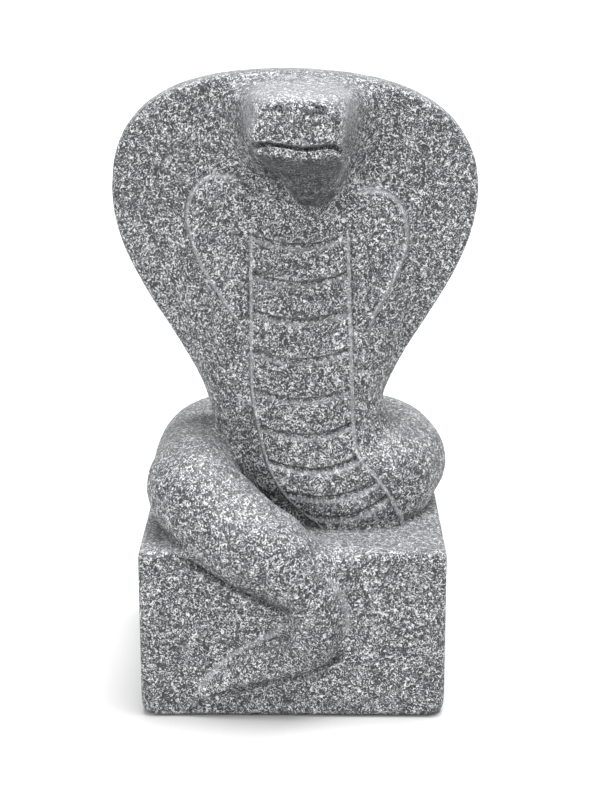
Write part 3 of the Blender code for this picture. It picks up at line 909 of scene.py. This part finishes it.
def hand_worked(stone):
    """The slight unevenness that hand dressing leaves on every face of the stone."""
    points, normals = points_of(stone), normals_of(stone)
    lift = np.empty(len(points))
    for i, point in enumerate(points):
        spot = Vector(point)
        lift[i] = sum(height * noise.noise(spot * waves) for height, waves in DRESSING)
    rests = step(0.0, 0.006, points[:, 2])
    move_to(stone, points + normals * (lift * rests)[:, None])


def linear(hex_colour):
    """sRGB hex to the linear values that shaders use."""
    out = []
    for i in (0, 2, 4):
        value = int(hex_colour[i:i + 2], 16) / 255
        out.append(value / 12.92 if value <= 0.04045 else ((value + 0.055) / 1.055) ** 2.4)
    return (*out, 1.0)


def add(tree, kind, links=(), stops=(), **settings):
    """A node with its settings; links are (its socket, the other node, the other node's socket),
    stops are a ramp's places from 0 to 1 with their colours."""
    node = tree.nodes.new(kind)
    for name, value in settings.items():
        if name.startswith("in_"):
            node.inputs[name[3:].replace("_", " ")].default_value = value
        else:
            setattr(node, name, value)
    for i, (position, colour) in enumerate(stops):
        band = node.color_ramp.elements
        stop = band[i] if i < len(band) else band.new(position)
        stop.position = position
        stop.color = linear(colour)
    for socket, other, output in links:
        tree.links.new(other.outputs[output], node.inputs[socket])
    return node


def honed_granite():
    """Fine grey granite, tooled and then honed: pale feldspar in short curved strokes between dark mica,
    matte; paler on worn edges and rims, partly as painted highlight, paler on upward faces and the head
    as painted light, and darker in hollows and on downward faces as painted shade."""
    material = bpy.data.materials.new("Honed grey granite")
    material.use_nodes = True
    tree = material.node_tree
    shader = tree.nodes["Principled BSDF"]
    shader.inputs["Roughness"].default_value = 0.62
    where = add(tree, "ShaderNodeTexCoord")
    # mica and quartz, about 2 mm
    grit = add(
        tree, "ShaderNodeTexNoise", [("Vector", where, "Object")],
        in_Scale=GRIT_SCALE, in_Detail=2.0, in_Roughness=0.55, in_Distortion=1.5,
    )
    grains = add(tree, "ShaderNodeTexVoronoi", [("Vector", where, "Object")], in_Scale=GRAIN_SCALE)
    split = add(tree, "ShaderNodeSeparateColor", [("Color", grains, "Color")])
    shade = add(tree, "ShaderNodeMath", [(0, split, "Red"), (2, grit, "Fac")], operation="MULTIPLY_ADD")
    shade.inputs[1].default_value = 0.12
    # feldspar strokes, about 1 mm wide and 3 mm long
    strokes = add(
        tree, "ShaderNodeTexNoise", [("Vector", where, "Object")],
        in_Scale=STROKE_SCALE, in_Detail=0.0, in_Distortion=2.0,
    )
    off = add(tree, "ShaderNodeMath", [(0, strokes, "Fac")], operation="SUBTRACT")
    off.inputs[1].default_value = 0.5
    away = add(tree, "ShaderNodeMath", [(0, off, "Value")], operation="ABSOLUTE")
    lie = add(tree, "ShaderNodeMath", [(0, away, "Value"), (2, shade, "Value")], operation="MULTIPLY_ADD")
    lie.inputs[1].default_value = -1.7
    stone = add(tree, "ShaderNodeValToRGB", [("Fac", lie, "Value")], stops=STONE_SHADES)
    output = "Color"
    # attribute, the two values between which the layer comes in, how much of it, colour, blend
    layers = (
        # painted top light: faces that look up are lightened
        ("upward", 0.35, 0.95, 0.55, "595a5b", "SCREEN"),
        # pale arrises: wear, and partly a painted highlight
        ("proud", 0.64, 0.98, 0.12, "b4b6b7", "MIX"),
        # painted shade: hollows and grooves are darkened
        ("proud", 0.36, 0.04, 0.50, PAINTED_SHADE, "MULTIPLY"),
        # painted shade: faces that look down are darkened
        ("upward", -0.32, -0.78, 0.66, PAINTED_SHADE, "MULTIPLY"),
        # pale lines: wear, and partly a painted highlight; on the head, painted light
        ("wear_and_painted_light", 0.05, 0.95, 0.30, "b2b5b7", "MIX"),
    )
    for name, start, end, most, colour, blend in layers:
        noted = add(tree, "ShaderNodeAttribute", attribute_name=name)
        share = add(
            tree, "ShaderNodeMapRange", [("Value", noted, "Fac")], interpolation_type="SMOOTHSTEP",
            in_From_Min=start, in_From_Max=end, in_To_Max=most,
        )
        # of a mix, socket 0 is the share, 6 and 7 are the two colours, and 2 is the result
        layer = add(
            tree, "ShaderNodeMix", [(0, share, "Result"), (6, stone, output)],
            data_type="RGBA", blend_type=blend,
        )
        layer.inputs[7].default_value = linear(colour)
        stone, output = layer, 2
    tree.links.new(stone.outputs[output], shader.inputs["Base Color"])
    return material


def pale_floor():
    """Matt white backdrop paper: a plain pale ground that takes a faint soft shadow."""
    material = bpy.data.materials.new("Matt white paper")
    material.use_nodes = True
    shader = material.node_tree.nodes["Principled BSDF"]
    shader.inputs["Base Color"].default_value = linear(FLOOR_COLOUR)
    shader.inputs["Roughness"].default_value = 0.9
    return material


def make_stone():
    """The whole carving as one piece: forms, softening, relief, face, wear with painted light and shade,
    and material.
    """
    makers = (make_block, make_hood, make_trunk, make_bed, make_skull, make_jaw, make_body, make_saddle)
    forms = [make() for make in makers]
    stone = one_skin(forms)
    ease_top_edge(stone)
    round_off(stone)
    for reach in FINE_NEAR_LINES:
        refine(stone, reach)
    carve(stone)
    shape_lips(stone)
    cut_nostrils(stone)
    open_mouth(stone)
    proud = lighten(stone)
    hand_worked(stone)
    note_wear_and_painted_light(stone, proud)
    only(stone)
    bpy.ops.object.shade_smooth()
    stone.data.materials.clear()
    stone.data.materials.append(honed_granite())
    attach(stone, "root")
    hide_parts("cobra_idol")


def make_floor():
    """A plain level floor that runs on to the horizon."""
    bpy.ops.mesh.primitive_plane_add(size=FLOOR_SIZE)
    floor = bpy.context.object
    floor.name = floor.data.name = "floor"
    floor.data.materials.append(pale_floor())


def make_light():
    """A wide soft light overhead and a weaker one low in front on the left, in a pale room."""
    world = bpy.data.worlds.new("White studio")
    world.use_nodes = True
    tree = world.node_tree
    sky = tree.nodes["Background"]
    ray = add(tree, "ShaderNodeTexCoord")
    height = add(tree, "ShaderNodeSeparateXYZ", [("Vector", ray, "Generated")])
    glow = add(tree, "ShaderNodeValToRGB", [("Fac", height, "Z")], stops=ROOM_SHADES)
    tree.links.new(glow.outputs["Color"], sky.inputs["Color"])
    bpy.context.scene.world = world
    for strength, width, turns in LIGHTS:
        bpy.ops.object.light_add(type="SUN", location=(0, -0.3, 1.5))
        lamp = bpy.context.object
        lamp.data.angle = math.radians(width)
        lamp.data.energy = strength
        lamp.rotation_euler = [math.radians(turn) for turn in turns]
    bpy.context.scene.view_settings.view_transform = "Standard"


def make_camera():
    """Stands a little above the idol, almost straight in front of it."""
    bpy.ops.object.camera_add()
    camera = bpy.context.object
    elevation, azimuth = math.radians(CAMERA_ELEVATION), math.radians(CAMERA_AZIMUTH)
    away = Vector((
        math.sin(azimuth) * math.cos(elevation),
        -math.cos(azimuth) * math.cos(elevation),
        math.sin(elevation),
    ))
    camera.location = Vector(CAMERA_TARGET) + CAMERA_DISTANCE * away
    camera.rotation_euler = (-away).to_track_quat("-Z", "Y").to_euler()
    camera.data.sensor_width = SENSOR_WIDTH
    camera.data.lens = LENS
    bpy.context.scene.camera = camera


make_stone()
make_floor()
make_light()
make_camera()
